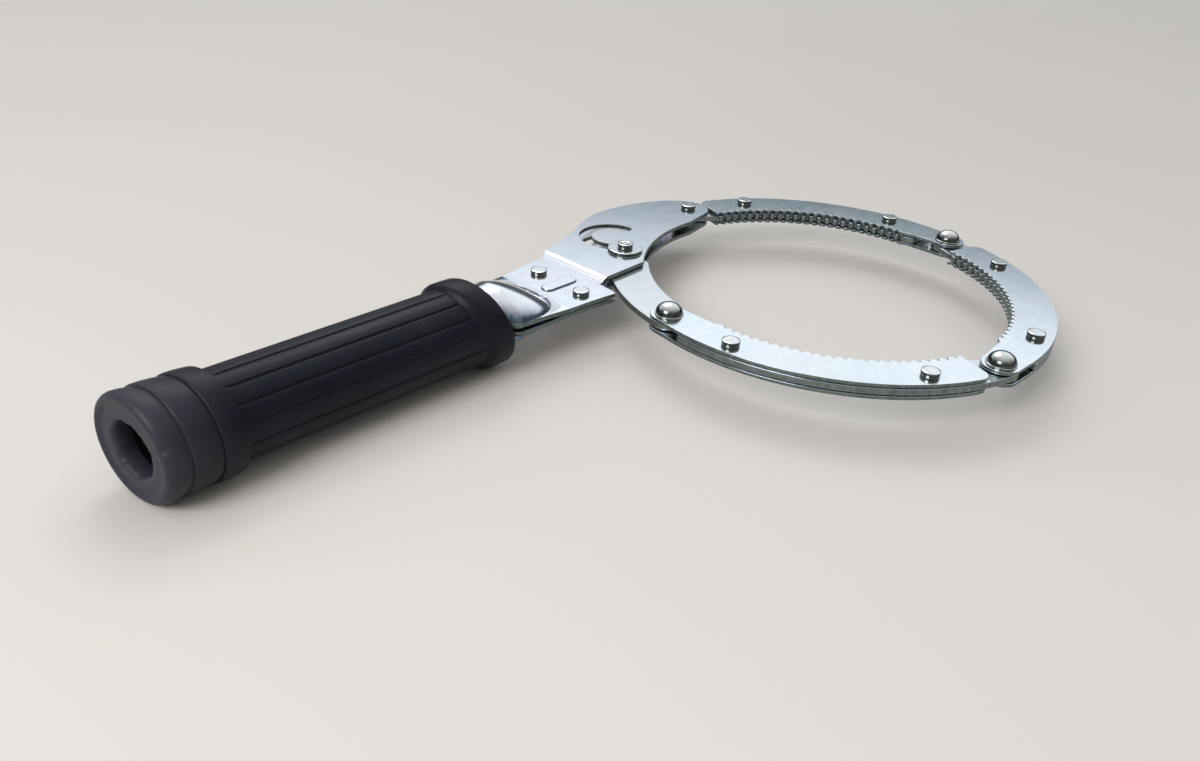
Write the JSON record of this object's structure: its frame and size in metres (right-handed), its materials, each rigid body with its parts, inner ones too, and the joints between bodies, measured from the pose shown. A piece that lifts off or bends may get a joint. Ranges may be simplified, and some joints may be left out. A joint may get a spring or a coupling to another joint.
{
  "type": "oil filter wrench",
  "caption": "Band-type oil filter wrench: hinged toothed ring segments with a link and sliding stud, folded steel jaw handle and ribbed rubber grip.",
  "frame": {"origin": "centre of the bounding box; the middle layer of the ring lies in the plane z = 0", "axes": "+X from the grip's rear end toward the ring along the handle, +Y toward the jaw's pivot side of the handle, +Z square to the flat ring plates"},
  "size_m": [0.2676, 0.1534, 0.0276],
  "materials": {
    "handle_steel": "bright zinc plated pressed sheet, faintly bluish",
    "outer_plate_steel": "bright zinc plated stamped plate",
    "middle_plate_steel": "zinc plated stamped plate, slightly duller",
    "rivet_steel": "bright zinc plated rivet",
    "washer_steel": "bright zinc plated washer",
    "grip_rubber": "satin black moulded rubber with lengthwise lands and collars"
  },
  "bodies": {
    "handle": {"upper_handle_shell": "handle_steel", "lower_handle_shell": "handle_steel", "grip_sleeve": "grip_rubber", "neck_rivet_back": "rivet_steel", "neck_rivet_front": "rivet_steel", "jaw_pivot_rivet": "rivet_steel"},
    "segment_1": {"segment_1_top_plate": "outer_plate_steel", "segment_1_middle_plate": "middle_plate_steel", "segment_1_bottom_plate": "outer_plate_steel", "segment_1_rivet_near_clevis": "rivet_steel", "segment_1_rivet_near_tongue": "rivet_steel", "segment_1_hinge_rivet": "rivet_steel"},
    "segment_2": {"segment_2_top_plate": "outer_plate_steel", "segment_2_middle_plate": "middle_plate_steel", "segment_2_bottom_plate": "outer_plate_steel", "segment_2_rivet_near_clevis": "rivet_steel", "segment_2_rivet_near_tongue": "rivet_steel", "segment_2_hinge_rivet": "rivet_steel"},
    "segment_3": {"segment_3_top_plate": "outer_plate_steel", "segment_3_middle_plate": "middle_plate_steel", "segment_3_bottom_plate": "outer_plate_steel", "segment_3_rivet_near_clevis": "rivet_steel", "segment_3_rivet_near_tongue": "rivet_steel", "segment_3_hinge_rivet": "rivet_steel"},
    "link": {"link_plate": "middle_plate_steel", "slot_stud": "rivet_steel", "stud_washer_upper": "washer_steel", "stud_washer_lower": "washer_steel"}
  },
  "joints": [
    {"name": "jaw_hinge", "type": "hinge", "parent": "handle", "child": "segment_1", "pos_m": [0.07893, 0.0592, 0], "axis": [0, 0, 1], "range_deg": [0, 5.1]},
    {"name": "hinge_1_2", "type": "hinge", "parent": "segment_1", "child": "segment_2", "pos_m": [0.1271, -0.01789, 0], "axis": [0, 0, 1], "range_deg": [-5.9, 0]},
    {"name": "hinge_2_3", "type": "hinge", "parent": "segment_2", "child": "segment_3", "pos_m": [0.05319, -0.07081, 0], "axis": [0, 0, 1], "range_deg": [0, 2.25]},
    {"name": "link_hinge", "type": "hinge", "parent": "segment_3", "child": "link", "pos_m": [0.00746, 0.00776, 0], "axis": [0, 0, 1], "range_deg": [0, 7.45]}
  ],
  "couplings": [
    {"joint": "hinge_1_2", "follows": "jaw_hinge", "ratio": -1.1453},
    {"joint": "hinge_2_3", "follows": "jaw_hinge", "ratio": 0.4339},
    {"joint": "link_hinge", "follows": "jaw_hinge", "ratio": 1.4489}
  ]
}
